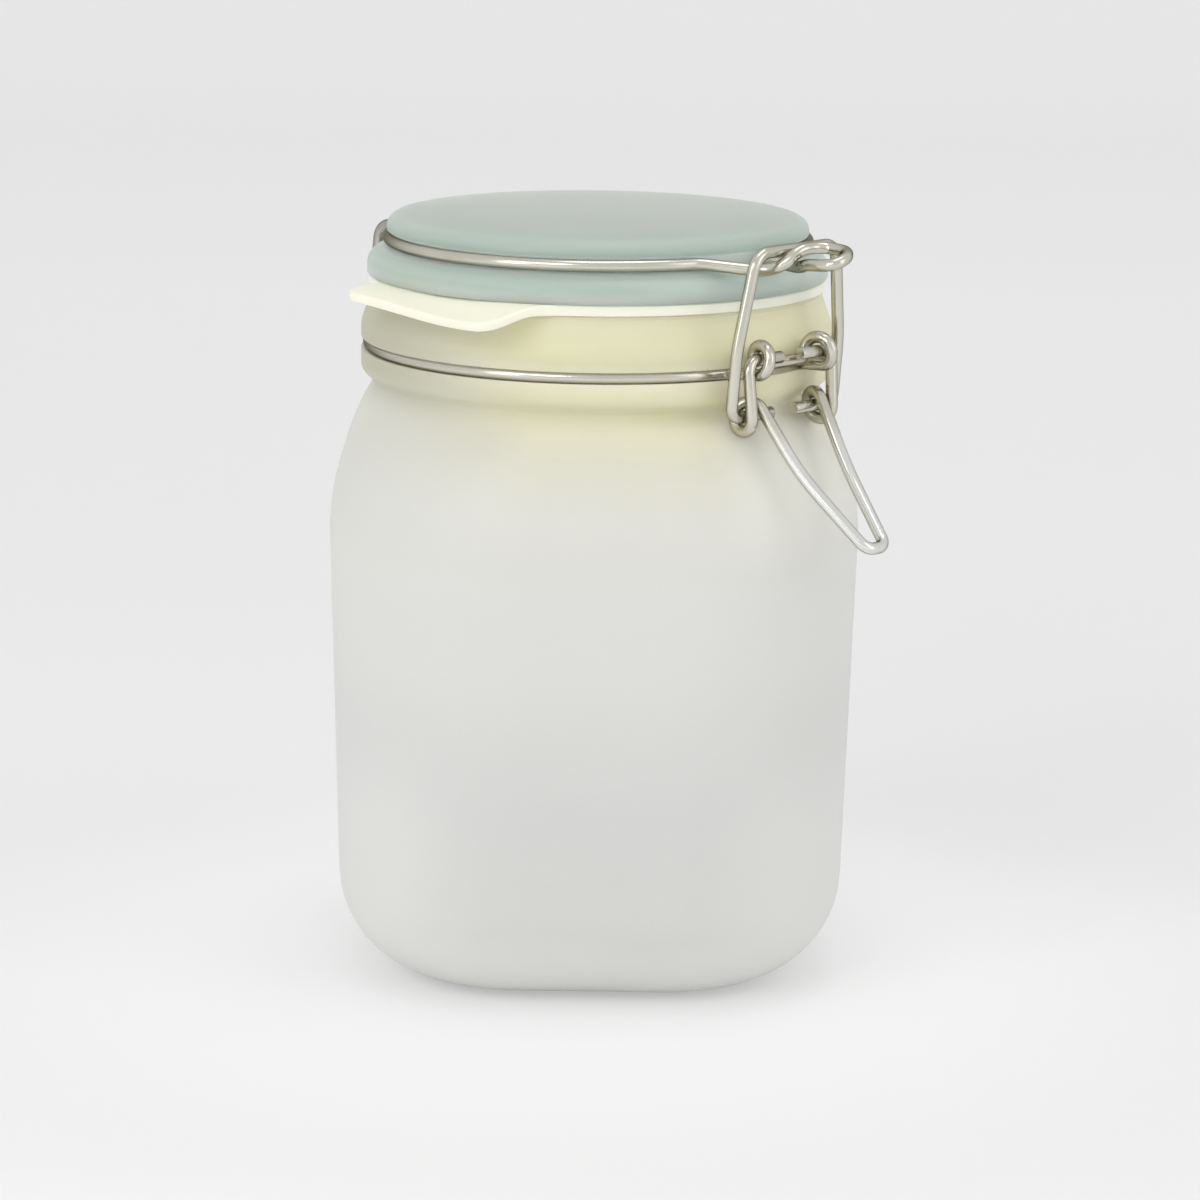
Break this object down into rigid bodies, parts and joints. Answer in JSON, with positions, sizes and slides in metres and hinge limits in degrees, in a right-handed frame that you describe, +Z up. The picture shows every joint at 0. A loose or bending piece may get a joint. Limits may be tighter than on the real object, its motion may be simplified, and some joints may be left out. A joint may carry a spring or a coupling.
{
  "type": "swing-top glass canister",
  "caption": "Square frosted glass storage canister with a round neck, a glass lid on a rubber gasket and a bent-wire hinge and over-centre clip.",
  "frame": {"origin": "centre of the base, on the surface it stands on", "axes": "+Z up, -Y out of the front face, +X to the right seen from the front"},
  "size_m": [0.1162, 0.1125, 0.162],
  "materials": {
    "frosted_glass": "frosted",
    "lid_glass": "frosted, green tint",
    "gasket_rubber": "satin",
    "wire_steel": "satin"
  },
  "bodies": {
    "jar": {"jar": "frosted_glass", "neck_ring": "wire_steel"},
    "lid": {"lid": "lid_glass", "lid_ring": "wire_steel", "gasket": "gasket_rubber"},
    "lever": {"lever": "wire_steel"},
    "bail": {"bail": "wire_steel"}
  },
  "joints": [
    {"name": "lid_open", "type": "hinge", "parent": "jar", "child": "lid", "pos_m": [-0.03984, 0.03715, 0.138], "axis": [-0.682, -0.7314, 0], "range_deg": [0, 160]},
    {"name": "lever_swing", "type": "hinge", "parent": "jar", "child": "lever", "pos_m": [0.03984, -0.03715, 0.138], "axis": [-0.682, -0.7314, 0], "range_deg": [0, 105]},
    {"name": "bail_swing", "type": "hinge", "parent": "lever", "child": "bail", "pos_m": [0.03848, -0.03589, 0.1263], "axis": [-0.682, -0.7314, 0], "range_deg": [-70, 0]}
  ],
  "couplings": [
    {"joint": "bail_swing", "follows": "lever_swing", "ratio": -0.65}
  ]
}
